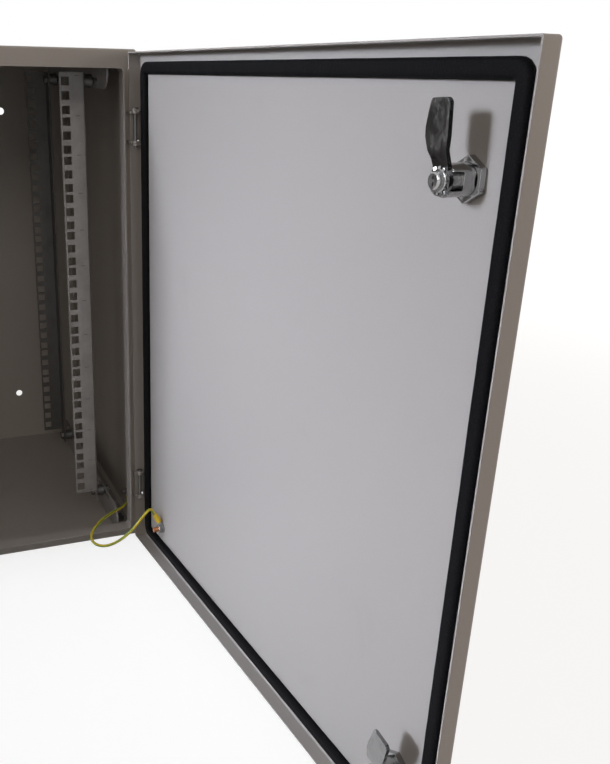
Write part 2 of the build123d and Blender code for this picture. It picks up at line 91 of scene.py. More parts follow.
# The earth wire's route from the body's crimp sleeve to the door's, the same points as its solid's.
WIRE_ROUTE = [
    (0.28953, -0.16488, 0.04200),
    (0.28784, -0.16850, 0.04200),
    (0.28350, -0.17800, 0.04190),
    (0.27550, -0.18800, 0.04170),
    (0.26300, -0.19650, 0.04180),
    (0.24900, -0.20550, 0.04120),
    (0.23550, -0.21550, 0.03840),
    (0.22450, -0.22600, 0.03380),
    (0.21950, -0.23600, 0.02840),
    (0.22400, -0.24500, 0.02360),
    (0.23550, -0.25050, 0.02240),
    (0.24850, -0.25400, 0.02760),
    (0.26050, -0.25680, 0.03660),
    (0.27050, -0.25880, 0.04740),
    (0.27850, -0.26000, 0.05740),
    (0.28440, -0.26000, 0.06440),
    (0.28800, -0.25920, 0.06780),
    (0.29140, -0.25820, 0.06940),
    (0.29420, -0.25770, 0.06840),
    (0.29556, -0.25815, 0.06561),
    (0.29735, -0.25923, 0.06221),
]
WIRE_STRIPES = 2.0


def length(name, default, description):
    """A size in metres for the panel."""
    return FloatProperty(
        name=name, default=default, description=description, unit="LENGTH", precision=5
    )


def tint(name, default, description):
    """A linear colour for the panel."""
    return FloatVectorProperty(
        name=name, default=default, description=description, subtype="COLOR", size=3, min=0, max=1
    )


def share(name, default, description):
    """A number from 0 to 1 for the panel."""
    return FloatProperty(
        name=name, default=default, description=description, subtype="FACTOR", min=0, max=1
    )


def power(name, default, description):
    """A lamp's power in watts for the panel."""
    return FloatProperty(name=name, default=default, description=description, unit="POWER", min=0)


class CabinetSizes(bpy.types.PropertyGroup):
    """Small sizes of the finished pieces."""

    sheet_edge: length("Sheet edge", 0.3 * MM, "Rounding left on cut and folded sheet edges")
    casting_edge: length("Casting edge", 0.5 * MM, "Rounding on cast and plated lock pieces")
    fastener_edge: length("Fastener edge", 0.35 * MM, "Rounding on bolts, nuts and washers")
    dust_height: length("Dust height", 100 * MM, "How far up the paint the dust reaches")
    wire_diameter: length("Wire diameter", 3.6 * MM, "Outside of the earth wire's sheath")
    door_sheet: length("Door sheet", 1.5 * MM, "Thickness of the door's folded edge")
    tongue_reach: length("Tongue reach", 11.2 * MM, "How far the edge stands between a lug's arms")
    tongue_height: length("Tongue height", 28.4 * MM, "Height of the edge between a lug's arms")
    tongue_lead: length("Tongue lead", 0.6 * MM, "How far its middle lies before the hinge line")
    gasket_width: length("Gasket width", 13 * MM, "Width of the foam gasket on the door")
    gasket_height: length("Gasket height", 6 * MM, "Height of the foam gasket's crown")
    gasket_corner: length("Gasket corner", 7.5 * MM, "Corner radius of the strip's middle line")
    gasket_station: length("Gasket station", 2.5 * MM, "Distance between sections of the strip")
    gasket_wander: length("Gasket wander", 0.5 * MM, "How far the foam strays from an even strip")
    seal_gap: length("Seal gap", 0.3 * MM, "Room between the gasket and the collar, door shut")
    tooth_ring: length("Tooth ring", 7.3 * MM, "Radius of the teeth's middles on the cam washers")
    tooth_length: length("Tooth length", 1.9 * MM, "Length of a cam washer's tooth")
    tooth_width: length("Tooth width", 1.5 * MM, "Width of a cam washer's tooth")
    tooth_thickness: length("Tooth thickness", 0.7 * MM, "Thickness of a cam washer's tooth")
    tooth_twist: FloatProperty(
        name="Tooth twist",
        default=math.radians(24),
        description="How far a cam washer's tooth is turned out of the washer",
        subtype="ANGLE",
    )
    tick_length: length("Tick length", 5 * MM, "Length of the height-unit marks on the rails")
    tick_width: length("Tick width", 0.7 * MM, "Width of the height-unit marks on the rails")
    tick_relief: length("Tick relief", 0.06 * MM, "Thickness of the marks' ink")
    tick_from_edge: length("Tick from edge", 9.5 * MM, "From the rail's fold to a mark's middle")
    tick_from_top: length("Tick from top", 3.3 * MM, "From the rail's top to its first mark")
    height_units: IntProperty(name="Height units", default=12, description="Marks on each rail")
    unit_pitch: length("Unit pitch", 44.45 * MM, "Distance between the height-unit marks")


class CabinetColours(bpy.types.PropertyGroup):
    """Colours and gloss of the finishes."""

    paint: tint("Paint", (0.445, 0.424, 0.394), "Light grey powder coat")
    paint_roughness: share("Paint roughness", 0.42, "Gloss of the powder coat")
    dust: tint("Dust", (0.40, 0.37, 0.33), "Dust low down on the powder coat")
    galvanised: tint("Galvanised", (0.34, 0.33, 0.32), "Front rails and depth bars")
    # Painted shade: the rear rails' zinc, much darker than the front rails', for the shade inside the body.
    aged_galvanised: tint("Shade-painted galvanised", (0.11, 0.105, 0.10), "Rear rails")
    zinc: tint("Zinc", (0.36, 0.36, 0.35), "Nuts and washers of the earth points")
    dull_zinc: tint("Dull zinc", (0.17, 0.165, 0.16), "Hinge pins and fasteners inside the body")
    chrome: tint("Chrome", (0.38, 0.38, 0.38), "Locks")
    # Painted shade: the cams' chrome, darker than the locks', for the dark surroundings they reflect.
    cam: tint("Cam", (0.26, 0.26, 0.265), "Cams of the locks")
    foam: tint("Foam", (0.0035, 0.0035, 0.004), "Gasket")
    rubber: tint("Rubber", (0.016, 0.016, 0.017), "Seals under the locks' heads")
    copper: tint("Copper", (0.72, 0.30, 0.13), "Welded stud of the door's earth point")
    tin: tint("Tin", (0.42, 0.42, 0.41), "Ring terminals")
    sleeve: tint("Sleeve", (0.80, 0.56, 0.02), "Crimp sleeves")
    wire_yellow: tint("Wire yellow", (0.72, 0.58, 0.03), "Main colour of the earth wire")
    wire_green: tint("Wire green", (0.12, 0.30, 0.03), "Stripe of the earth wire")
    ink: tint("Ink", (0.09, 0.09, 0.09), "Height-unit marks")


class CabinetStage(bpy.types.PropertyGroup):
    """Camera, lamps and floor."""

    focal_pixels: FloatProperty(
        name="Focal length", default=863.3, description="In pixels of the view"
    )
    floor_shade: tint("Floor", (0.80, 0.80, 0.80), "Pale floor")
    key_watts: power("Key lamp", 3.05, "Power of the lamp on the left")
    fill_watts: power("Fill lamp", 15.0, "Power of the lamp on the right")
    front_watts: power("Front lamp", 7.5, "Power of the lamp in front")
    sky_share: share("Sky", 0.30, "Strength of the even light from all round")
    sky_colour: tint("Sky colour", (1.0, 0.89, 0.82), "Colour of the even light from all round")


class Value:
    """A number that changes from place to place: a socket that Python's operators work on."""

    def __init__(self, nodes, socket):
        self.nodes = nodes
        self.socket = socket

    def maths(self, operation, first, second=None, clamp=False):
        """A Math node on one or two values or numbers."""
        inputs = [first] if second is None else [first, second]
        settings = {"operation": operation, "use_clamp": clamp}
        return self.nodes.value("ShaderNodeMath", settings, dict(enumerate(inputs)))

    def __add__(self, other):
        return self.maths("ADD", self, other)

    __radd__ = __add__

    def __sub__(self, other):
        return self.maths("SUBTRACT", self, other)

    def __rsub__(self, other):
        return self.maths("SUBTRACT", other, self)

    def __mul__(self, other):
        return self.maths("MULTIPLY", self, other)

    __rmul__ = __mul__

    def __truediv__(self, other):
        return self.maths("DIVIDE", self, other)

    def __rtruediv__(self, other):
        return self.maths("DIVIDE", other, self)

    def __gt__(self, other):
        return self.maths("GREATER_THAN", self, other)

    def __lt__(self, other):
        return self.maths("LESS_THAN", self, other)

    def clamped(self):
        """Kept between 0 and 1."""
        return self.maths("ADD", self, 0.0, clamp=True)

    def magnitude(self):
        """Without its sign."""
        return self.maths("ABSOLUTE", self)

    def fraction(self):
        """What is left after whole numbers are taken off."""
        return self.maths("FRACT", self)


class NodeTree:
    """A tree of nodes under construction."""

    def __init__(self, tree):
        self.tree = tree
        tree.nodes.clear()

    def node(self, kind, settings=None, inputs=None):
        """A new node: first its settings, then the values or links of its sockets."""
        made = self.tree.nodes.new(kind)
        for key, value in (settings or {}).items():
            setattr(made, key, value)
        for key, value in (inputs or {}).items():
            socket = made.inputs[key]
            if isinstance(value, Value):
                self.tree.links.new(value.socket, socket)
            elif isinstance(value, bpy.types.NodeSocket):
                self.tree.links.new(value, socket)
            else:
                socket.default_value = value
        return made

    def value(self, kind, settings=None, inputs=None, output=0):
        """A new node's output as a Value."""
        return Value(self, self.node(kind, settings, inputs).outputs[output])

    def blend(self, factor, first, second):
        """A colour between two others."""
        inputs = {0: factor, 6: opaque(first), 7: opaque(second)}
        return self.node("ShaderNodeMix", {"data_type": "RGBA"}, inputs).outputs[2]


class Recipe(NodeTree):
    """Geometry nodes for one piece, with named sizes as the tree's inputs."""

    def __init__(self, name, **measures):
        group = bpy.data.node_groups.new(name, "GeometryNodeTree")
        group.is_modifier = True
        super().__init__(group)
        group.interface.new_socket("Geometry", in_out="OUTPUT", socket_type="NodeSocketGeometry")
        self.measures = {}
        for label, measure in measures.items():
            kind = "NodeSocketInt" if isinstance(measure, int) else "NodeSocketFloat"
            socket = group.interface.new_socket(label, in_out="INPUT", socket_type=kind)
            self.measures[socket.identifier] = measure
        self.start = self.node("NodeGroupInput")

    def size(self, label):
        """One of the tree's named sizes."""
        return Value(self, self.start.outputs[label])

    def vector(self, x=0.0, y=0.0, z=0.0):
        """A vector of numbers or values."""
        return self.node("ShaderNodeCombineXYZ", None, {0: x, 1: y, 2: z}).outputs[0]

    def block(self, x, y, z):
        """A block round the origin, with three of the tree's sizes."""
        sides = self.vector(self.size(x), self.size(y), self.size(z))
        return self.node("GeometryNodeMeshCube", None, {"Size": sides}).outputs[0]

    def row(self, count, start, step):
        """Evenly spaced points."""
        inputs = {"Count": count, "Start Location": start, "Offset": step}
        return self.node("GeometryNodeMeshLine", {"mode": "OFFSET"}, inputs).outputs[0]

    def repeated(self, shape, points, **more):
        """A shape at each of some points."""
        inputs = {"Points": points, "Instance": shape, **more}
        return self.node("GeometryNodeInstanceOnPoints", None, inputs).outputs[0]

    def made(self, geometry, finish):
        """Ends the tree with its finish and turns what it makes into a plain mesh."""
        whole = self.node("GeometryNodeRealizeInstances", None, {0: geometry}).outputs[0]
        inputs = {"Geometry": whole, "Material": finish_named(finish)}
        dressed = self.node("GeometryNodeSetMaterial", None, inputs).outputs[0]
        self.node("NodeGroupOutput", None, {0: dressed})
        piece = linked(self.tree.name, bpy.data.meshes.new(self.tree.name))
        modifier = piece.modifiers.new("recipe", "NODES")
        modifier.node_group = self.tree
        for identifier, measure in self.measures.items():
            modifier[identifier] = measure
        return plain_mesh(piece)


def finish_title(name):
    """A finish's material name, apart from the plain materials that come with the solids."""
    return f"{name}_finish"


class Finish(NodeTree):
    """One node material under construction."""

    def __init__(self, name):
        self.material = bpy.data.materials.new(finish_title(name))
        self.material.use_nodes = True
        super().__init__(self.material.node_tree)

    def place(self, stretch=None):
        """The piece's own coordinates in metres, scaled along its axes where stretch is given."""
        where = self.node("ShaderNodeTexCoord").outputs["Object"]
        if stretch is None:
            return where
        inputs = {"Vector": where, "Scale": stretch}
        return self.node("ShaderNodeMapping", None, inputs).outputs[0]

    def axes(self):
        """x, y and z of the piece's own coordinates as values."""
        parts = self.node("ShaderNodeSeparateXYZ", None, {0: self.place()})
        return [Value(self, parts.outputs[i]) for i in range(3)]

    def noise(self, per_metre, detail=3.0, roughness=0.6, distortion=0.0, stretch=None):
        """Cloudy noise from 0 to 1."""
        inputs = {
            "Vector": self.place(stretch),
            "Scale": per_metre,
            "Detail": detail,
            "Roughness": roughness,
            "Distortion": distortion,
        }
        return self.value("ShaderNodeTexNoise", None, inputs)

    def cells(self, per_metre, output="Distance"):
        """Irregular cells, such as the pores of foam or the spangle of zinc."""
        inputs = {"Vector": self.place(), "Scale": per_metre}
        return self.value("ShaderNodeTexVoronoi", None, inputs, output)

    def ramp(self, factor, low, high):
        """0 below low, 1 above high, with a smooth change between."""
        inputs = {"Value": factor, 1: low, 2: high, 3: 0.0, 4: 1.0}
        return self.value("ShaderNodeMapRange", {"interpolation_type": "SMOOTHSTEP"}, inputs)

    def bump(self, height, depth, under=None):
        """Relief of the given depth in metres."""
        inputs = {"Strength": 1.0, "Distance": depth, "Height": height}
        if under is not None:
            inputs["Normal"] = under
        return self.node("ShaderNodeBump", None, inputs).outputs[0]

    def surface(self, base, roughness, metallic=0.0, normal=None, **numbers):
        """Ends the material; numbers go to the sockets of the same names."""
        inputs = {"Base Color": opaque(base), "Roughness": roughness, "Metallic": metallic}
        if normal is not None:
            inputs["Normal"] = normal
        inputs.update({key.replace("_", " "): value for key, value in numbers.items()})
        shader = self.node("ShaderNodeBsdfPrincipled", None, inputs)
        self.node("ShaderNodeOutputMaterial", None, {"Surface": shader.outputs[0]})
        return self.material


def opaque(colour):
    """A colour of three numbers as four; a link is left as it is."""
    if isinstance(colour, (Value, bpy.types.NodeSocket)):
        return colour
    return (*tuple(colour)[:3], 1.0)


def shaded(colour, amount):
    """A colour made lighter or darker."""
    return tuple(min(1.0, channel * amount) for channel in colour)


def colours():
    """The colours set in the panel."""
    return bpy.context.scene.cabinet_colours


def sizes():
    """The sizes set in the panel."""
    return bpy.context.scene.cabinet_sizes


def powder_coat():
    """Fine textured light grey powder coat, a little duller and dustier low down."""
    finish = Finish("powder_coat")
    paint = colours().paint
    cloud = finish.noise(5.0, roughness=0.55)
    fleck = finish.noise(900.0, detail=2.0)
    grain = finish.noise(420.0)
    handled = finish.ramp(finish.noise(11.0, detail=4.0, distortion=0.6), 0.56, 0.78)
    height = finish.axes()[2]
    low_down = 1.0 - finish.ramp(height, 0.02 * sizes().dust_height, sizes().dust_height)
    base = finish.blend(cloud, shaded(paint, 0.955), shaded(paint, 1.035))
    base = finish.blend(finish.ramp(fleck, 0.35, 0.75) * 0.10, base, shaded(paint, 0.72))
    base = finish.blend(low_down * handled * 0.22, base, colours().dust)
    base = finish.blend(handled * 0.07, base, shaded(paint, 0.62))
    gloss = colours().paint_roughness + (cloud - 0.5) * 0.08 + (grain - 0.5) * 0.10
    gloss = gloss + handled * 0.06
    relief = finish.bump(grain, 0.05 * MM)
    relief = finish.bump(fleck, 0.02 * MM, relief)
    return finish.surface(base, gloss, normal=relief, Specular_IOR_Level=0.2)


def galvanised_sheet():
    """Zinc-coated sheet of the front rails and the depth bars."""
    return zinc_coated("galvanised_sheet", colours().galvanised)


def aged_galvanised():
    """Zinc-coated sheet of the rear rails, with painted shade: much darker than the front rails' zinc."""
    return zinc_coated("aged_galvanised", colours().aged_galvanised)


def zinc_coated(name, zinc):
    """Zinc-coated sheet with pale spangle and rolling lines."""
    finish = Finish(name)
    spangle = finish.cells(130.0, output="Color")
    tone = finish.value("ShaderNodeRGBToBW", None, {0: spangle.socket})
    lines = finish.noise(260.0, stretch=(1, 1, 0.03))
    stain = finish.ramp(finish.noise(26.0, detail=4.0, roughness=0.62), 0.46, 0.74)
    base = finish.blend(tone * 0.5 + lines * 0.5, shaded(zinc, 0.80), shaded(zinc, 1.12))
    base = finish.blend(stain * 0.35, base, shaded(zinc, 0.55))
    gloss = 0.50 + tone * 0.10 + (lines - 0.5) * 0.10 + stain * 0.12
    relief = finish.bump(lines, 0.02 * MM)
    return finish.surface(base, gloss, 0.3, relief)


def zinc_plate():
    """Bright zinc on the earth points' nuts and washers, with duller patches."""
    finish = Finish("zinc_plate")
    zinc = colours().zinc
    patch = finish.noise(240.0)
    scratch = finish.noise(1500.0, detail=2.0, stretch=(1, 1, 0.15))
    base = finish.blend(patch, shaded(zinc, 0.72), shaded(zinc, 1.12))
    gloss = 0.14 + patch * 0.12 + (scratch - 0.5) * 0.06
    return finish.surface(base, gloss, 1.0, finish.bump(scratch, 0.01 * MM))


def dull_zinc():
    """Old zinc on the hinge pins and inside the body, grey and hardly shining."""
    finish = Finish("dull_zinc")
    zinc = colours().dull_zinc
    patch = finish.noise(320.0)
    base = finish.blend(patch, shaded(zinc, 0.7), shaded(zinc, 1.15))
    return finish.surface(base, 0.46 + patch * 0.2, 0.7, finish.bump(patch, 0.02 * MM))


def polished_chrome():
    """Chrome on the locks' castings."""
    return chromed("polished_chrome", colours().chrome)


def dark_chrome():
    """Chrome on the pressed steel cams, with painted shade: darker than the locks' chrome."""
    return chromed("dark_chrome", colours().cam)


def chromed(name, chrome):
    """Chrome with soft waves, fine scratches and finger marks."""
    finish = Finish(name)
    waves = finish.noise(150.0, detail=2.0, roughness=0.5)
    marks = finish.ramp(finish.noise(90.0, detail=4.0, distortion=0.5), 0.48, 0.72)
    scratch = finish.noise(1600.0, detail=2.0, roughness=0.7, stretch=(1, 1, 0.08))
    base = finish.blend(marks * 0.6, chrome, shaded(chrome, 0.72))
    gloss = 0.17 + marks * 0.14 + (scratch - 0.5) * 0.06
    relief = finish.bump(waves, 0.2 * MM)
    relief = finish.bump(scratch, 0.006 * MM, relief)
    return finish.surface(base, gloss, 1.0, relief)


def foam_gasket():
    """Matt black foam with a fine open skin."""
    finish = Finish("foam_gasket")
    foam = colours().foam
    pores = finish.cells(780.0)
    skin = finish.noise(70.0)
    base = finish.blend(skin, shaded(foam, 0.7), shaded(foam, 1.9))
    base = finish.blend(finish.ramp(pores, 0.45, 0.75) * 0.5, base, shaded(foam, 3.0))
    gloss = 0.50 + skin * 0.16 + pores * 0.12
    relief = finish.bump(pores, 0.16 * MM)
    relief = finish.bump(skin, 0.35 * MM, relief)
    return finish.surface(base, gloss, normal=relief, Specular_IOR_Level=0.06)


def black_rubber():
    """Moulded rubber of the lock seals."""
    finish = Finish("black_rubber")
    rubber = colours().rubber
    bloom = finish.noise(120.0)
    base = finish.blend(bloom, rubber, shaded(rubber, 2.2))
    return finish.surface(base, 0.55 + bloom * 0.2, normal=finish.bump(bloom, 0.05 * MM))


def bare_copper():
    """Copper-coated weld stud, darker where it has tarnished."""
    finish = Finish("bare_copper")
    copper = colours().copper
    tarnish = finish.noise(420.0)
    base = finish.blend(finish.ramp(tarnish, 0.45, 0.75), copper, shaded(copper, 0.45))
    return finish.surface(base, 0.26 + tarnish * 0.2, 1.0, finish.bump(tarnish, 0.02 * MM))


def tinned_terminal():
    """Dull tin on the stamped ring terminals."""
    finish = Finish("tinned_terminal")
    tin = colours().tin
    drift = finish.noise(500.0)
    base = finish.blend(drift, shaded(tin, 0.75), shaded(tin, 1.08))
    return finish.surface(base, 0.30 + drift * 0.2, 1.0, finish.bump(drift, 0.015 * MM))


def sleeve_plastic():
    """Moulded yellow sleeve with the press marks of the crimping tool."""
    finish = Finish("sleeve_plastic")
    yellow = colours().sleeve
    cloud = finish.noise(300.0, detail=2.0, roughness=0.5)
    base = finish.blend(cloud, shaded(yellow, 0.85), shaded(yellow, 1.1))
    return finish.surface(base, 0.36 + cloud * 0.1, normal=finish.bump(cloud, 0.05 * MM))


def striped_sheath():
    """Yellow wire sheath with green stripes along it, from the tube's own map."""
    finish = Finish("striped_sheath")
    round_it = finish.node("ShaderNodeUVMap", {"uv_map": "sheath"}).outputs[0]
    parts = finish.node("ShaderNodeSeparateXYZ", None, {0: round_it})
    turn = Value(finish, parts.outputs[0])
    wobble = finish.noise(160.0, detail=2.0, roughness=0.5)
    stripe = (turn * WIRE_STRIPES + (wobble - 0.5) * 0.06).fraction()
    mask = finish.ramp((stripe - 0.5).magnitude(), 0.13, 0.16)
    base = finish.blend(mask, colours().wire_green, colours().wire_yellow)
    base = finish.blend(wobble * 0.35, base, shaded(colours().wire_yellow, 0.55))
    return finish.surface(base, 0.34 + wobble * 0.14, normal=finish.bump(wobble, 0.08 * MM))


def printed_ink():
    """Dark ink of the height-unit marks, thin in places."""
    finish = Finish("printed_ink")
    ink = colours().ink
    worn = finish.noise(900.0, roughness=0.7)
    base = finish.blend(finish.ramp(worn, 0.55, 0.72), ink, shaded(ink, 3.0))
    return finish.surface(base, 0.6)


FINISHES = {
    "powder_coat": powder_coat,
    "galvanised_sheet": galvanised_sheet,
    "aged_galvanised": aged_galvanised,
    "zinc_plate": zinc_plate,
    "dull_zinc": dull_zinc,
    "polished_chrome": polished_chrome,
    "dark_chrome": dark_chrome,
    "foam_gasket": foam_gasket,
    "black_rubber": black_rubber,
    "bare_copper": bare_copper,
    "tinned_terminal": tinned_terminal,
    "sleeve_plastic": sleeve_plastic,
    "striped_sheath": striped_sheath,
    "printed_ink": printed_ink,
}


def finish_named(name):
    """A finish's material, made the first time it is asked for."""
    return bpy.data.materials.get(finish_title(name)) or FINISHES[name]()


def plain_mesh(obj):
    """Turns an object's modifiers into its mesh."""
    graph = bpy.context.evaluated_depsgraph_get()
    made = bpy.data.meshes.new_from_object(obj.evaluated_get(graph))
    obj.modifiers.clear()
    old = obj.data
    obj.data = made
    if old.users == 0:
        bpy.data.meshes.remove(old)
    return obj


def linked(name, mesh):
    """A new object for a mesh, in the scene."""
    obj = bpy.data.objects.new(name, mesh)
    bpy.context.scene.collection.objects.link(obj)
    return obj


def middle_of(node):
    """The middle of a solid's box."""
    low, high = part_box(node)
    return (low + high) / 2


def door_swing():
    """The turn from the shut door to the open one."""
    hinge = Vector(DOOR_HINGE["pos_m"])
    turn = Matrix.Rotation(OPEN_ANGLE, 4, "Z")
    return Matrix.Translation(hinge) @ turn @ Matrix.Translation(-hinge)


def door_place(depth):
    """The move that sets what is drawn flat, x to the free edge and y up, on the open door.

    The depth is the drawing's y when the door is shut.
    """
    middle = (SHELL_LOW.z + SHELL_HIGH.z) / 2
    flat = Matrix(((-1, 0, 0, 0), (0, 0, 1, depth), (0, 1, 0, middle), (0, 0, 0, 1)))
    return door_swing() @ flat


def eased(node, suffix, finish, edge):
    """A copy of a solid with its cut edges eased and its curves shaded smooth, in place of it."""
    work = bmesh.new()
    work.from_mesh(frame["nodes"][node].data)
    bmesh.ops.remove_doubles(work, verts=work.verts, dist=SAME_PLACE)
    for face in work.faces:
        face.smooth = True
    mesh = bpy.data.meshes.new(f"{node}_{suffix}")
    work.to_mesh(mesh)
    work.free()
    piece = linked(f"{node}_{suffix}", mesh)
    mesh.materials.append(finish_named(finish))
    if edge > 0:
        bevel = piece.modifiers.new("eased", "BEVEL")
        bevel.width = edge
        bevel.segments = EASING_SEGMENTS
        bevel.limit_method = "ANGLE"
        bevel.angle_limit = CREASE_ANGLE
    else:
        mesh.set_sharp_from_angle(angle=CREASE_ANGLE)
    smooth = piece.modifiers.new("even", "WEIGHTED_NORMAL")
    smooth.keep_sharp = True
    smooth.weight = LARGE_FACE_WEIGHT
    plain_mesh(piece)
    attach(piece, BODY_OF[node])
    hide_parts(node)


class CABINET_OT_earth_wire(bpy.types.Operator):
    """Lay the striped earth wire from the body to the door"""

    bl_idname = "cabinet.earth_wire"
    bl_label = "Earth wire"
    bl_options = {"REGISTER", "UNDO"}

    SIDES = 14
    STEPS_PER_POINT = 10
    TURNS_PER_METRE = 4.0

    # Where the wire bends as the door turns; no step here reads these two places.
    BEND_START = (0.25, -0.196, 0.04)
    BEND_END = (0.25, -0.257, 0.04)

    def execute(self, context):
        line = self.centre_line()
        radius = sizes().wire_diameter / 2
        wire = linked("earth_wire_sheath", self.tube(line, radius))
        wire.data.materials.append(finish_named("striped_sheath"))
        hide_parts("earth_wire")
        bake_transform(wire)
        return {"FINISHED"}

    def centre_line(self):
        """Points read from the route's smooth spline."""
        curve = bpy.data.curves.new("earth_wire_route", "CURVE")
        curve.dimensions = "3D"
        spline = curve.splines.new("NURBS")
        spline.points.add(len(WIRE_ROUTE) - 1)
        for point, place in zip(spline.points, WIRE_ROUTE):
            point.co = (*place, 1.0)
        spline.order_u = 3
        spline.use_endpoint_u = True
        spline.resolution_u = self.STEPS_PER_POINT
        holder = linked("earth_wire_route", curve)
        graph = bpy.context.evaluated_depsgraph_get()
        mesh = bpy.data.meshes.new_from_object(holder.evaluated_get(graph))
        line = [vertex.co.copy() for vertex in mesh.vertices]
        bpy.data.objects.remove(holder)
        bpy.data.curves.remove(curve)
        bpy.data.meshes.remove(mesh)
        return line

    def tube(self, line, radius):
        """A round tube along the line, with its own map: round it and along it."""
        work = bmesh.new()
        layer = work.loops.layers.uv.new("sheath")
        rings = []
        tangent = (line[1] - line[0]).normalized()
        normal = tangent.orthogonal().normalized()
        travelled = [0.0]
        for before, after in zip(line, line[1:]):
            travelled.append(travelled[-1] + (after - before).length)
        for index, place in enumerate(line):
            ahead = line[min(index + 1, len(line) - 1)] - line[max(index - 1, 0)]
            bend = tangent.rotation_difference(ahead.normalized())
            normal = bend @ normal
            tangent = ahead.normalized()
            ring = []
            for side in range(self.SIDES):
                turn = Quaternion(tangent, 2 * math.pi * side / self.SIDES)
                ring.append(work.verts.new(place + turn @ normal * radius))
            rings.append(ring)
        for index, (ring, after) in enumerate(zip(rings, rings[1:])):
            for side in range(self.SIDES):
                beside = (side + 1) % self.SIDES
                face = work.faces.new((ring[side], ring[beside], after[beside], after[side]))
                face.smooth = True
                rounds = [side, side + 1, side + 1, side]
                runs = [index, index, index + 1, index + 1]
                for loop, step, station in zip(face.loops, rounds, runs):
                    along = travelled[station]
                    loop[layer].uv = (step / self.SIDES + along * self.TURNS_PER_METRE, along)
        work.faces.new(list(reversed(rings[0])))
        work.faces.new(rings[-1])
        mesh = bpy.data.meshes.new("earth_wire_sheath")
        work.to_mesh(mesh)
        work.free()
        return mesh


class CABINET_OT_shell(bpy.types.Operator):
    """Paint the folded body and the door"""

    bl_idname = "cabinet.shell"
    bl_label = "Body and door"
    bl_options = {"REGISTER", "UNDO"}

    PAINTED = (
        "cabinet_shell",
        "door_panel",
        "hinge_lug_upper",
        "hinge_lug_lower",
        "hinge_bracket_upper",
        "hinge_bracket_lower",
    )

    def execute(self, context):
        for node in self.PAINTED:
            eased(node, "painted", "powder_coat", sizes().sheet_edge)
        for node in ("hinge_pin_upper", "hinge_pin_lower"):
            eased(node, "plated", "dull_zinc", sizes().fastener_edge)
        self.hinge_tongues()
        return {"FINISHED"}

    def hinge_tongues(self):
        """The door's edge between the arms of each hinge lug, which leaves a slot for each arm."""
        size = sizes()
        lower, upper = (middle_of(f"hinge_lug_{end}").z for end in ("lower", "upper"))
        recipe = Recipe(
            "hinge_tongues",
            tongues=2,
            thickness=size.door_sheet,
            reach=size.tongue_reach,
            height=size.tongue_height,
            side=SHELL_HIGH.x - size.door_sheet / 2,
            depth=DOOR_HINGE["pos_m"][1] - size.tongue_lead,
            lower_rise=lower,
            spacing=upper - lower,
        )
        tongue = recipe.block("thickness", "reach", "height")
        start = recipe.vector(recipe.size("side"), recipe.size("depth"), recipe.size("lower_rise"))
        step = recipe.vector(z=recipe.size("spacing"))
        pair = recipe.repeated(tongue, recipe.row(recipe.size("tongues"), start, step))
        tongues = recipe.made(pair, "powder_coat")
        tongues.data.transform(door_swing())
        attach(tongues, "door")


